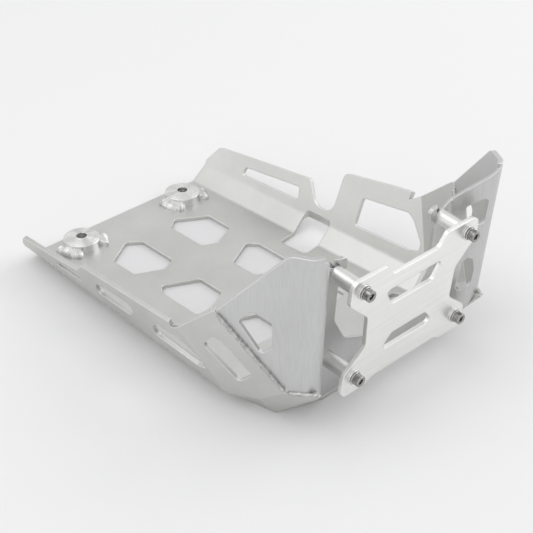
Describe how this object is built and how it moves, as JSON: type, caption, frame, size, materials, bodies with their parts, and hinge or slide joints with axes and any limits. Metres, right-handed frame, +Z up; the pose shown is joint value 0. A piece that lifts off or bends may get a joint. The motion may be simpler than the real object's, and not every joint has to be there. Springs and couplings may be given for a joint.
{
  "type": "motorcycle skid plate",
  "caption": "Folded aluminium guard for the underside of an engine, with slotted flanges, a welded front plate and a stand-off bracket plate",
  "frame": {"origin": "below the middle of the whole part, at the level of the floor's underside", "axes": "+X forward to the bracket plate, +Y to the rider's left, +Z up"},
  "size_m": [0.4024, 0.3038, 0.1773],
  "materials": {
    "satin_plate": "satin",
    "front_plate": "fine brushed",
    "bracket_plate": "brushed lengthwise",
    "spacer": "turned",
    "bolt": "plain",
    "stainless": "plain",
    "weld": "as welded",
    "boss": "turned"
  },
  "bodies": {
    "root": {"bolt_lower_left": "bolt", "bolt_lower_right": "bolt", "bolt_upper_left": "bolt", "bolt_upper_right": "bolt", "boss_bead_left_front": "weld", "boss_bead_left_rear": "weld", "boss_bead_right_front": "weld", "boss_bead_right_rear": "weld", "boss_left": "boss", "boss_right": "boss", "bracket_plate": "bracket_plate", "front_plate": "front_plate", "inner_bead_left": "weld", "inner_bead_right": "weld", "joint_bead_left": "weld", "joint_bead_right": "weld", "main_plate": "satin_plate", "nose_bead_left": "weld", "nose_bead_right": "weld", "nut_lower_left": "stainless", "nut_lower_right": "stainless", "nut_upper_left": "stainless", "nut_upper_right": "stainless", "spacer_lower_left": "spacer", "spacer_lower_right": "spacer", "spacer_upper_left": "spacer", "spacer_upper_right": "spacer", "spring_washer_lower_left": "stainless", "spring_washer_lower_right": "stainless", "spring_washer_upper_left": "stainless", "spring_washer_upper_right": "stainless", "washer_lower_left": "stainless", "washer_lower_right": "stainless", "washer_upper_left": "stainless", "washer_upper_right": "stainless"}
  },
  "joints": []
}
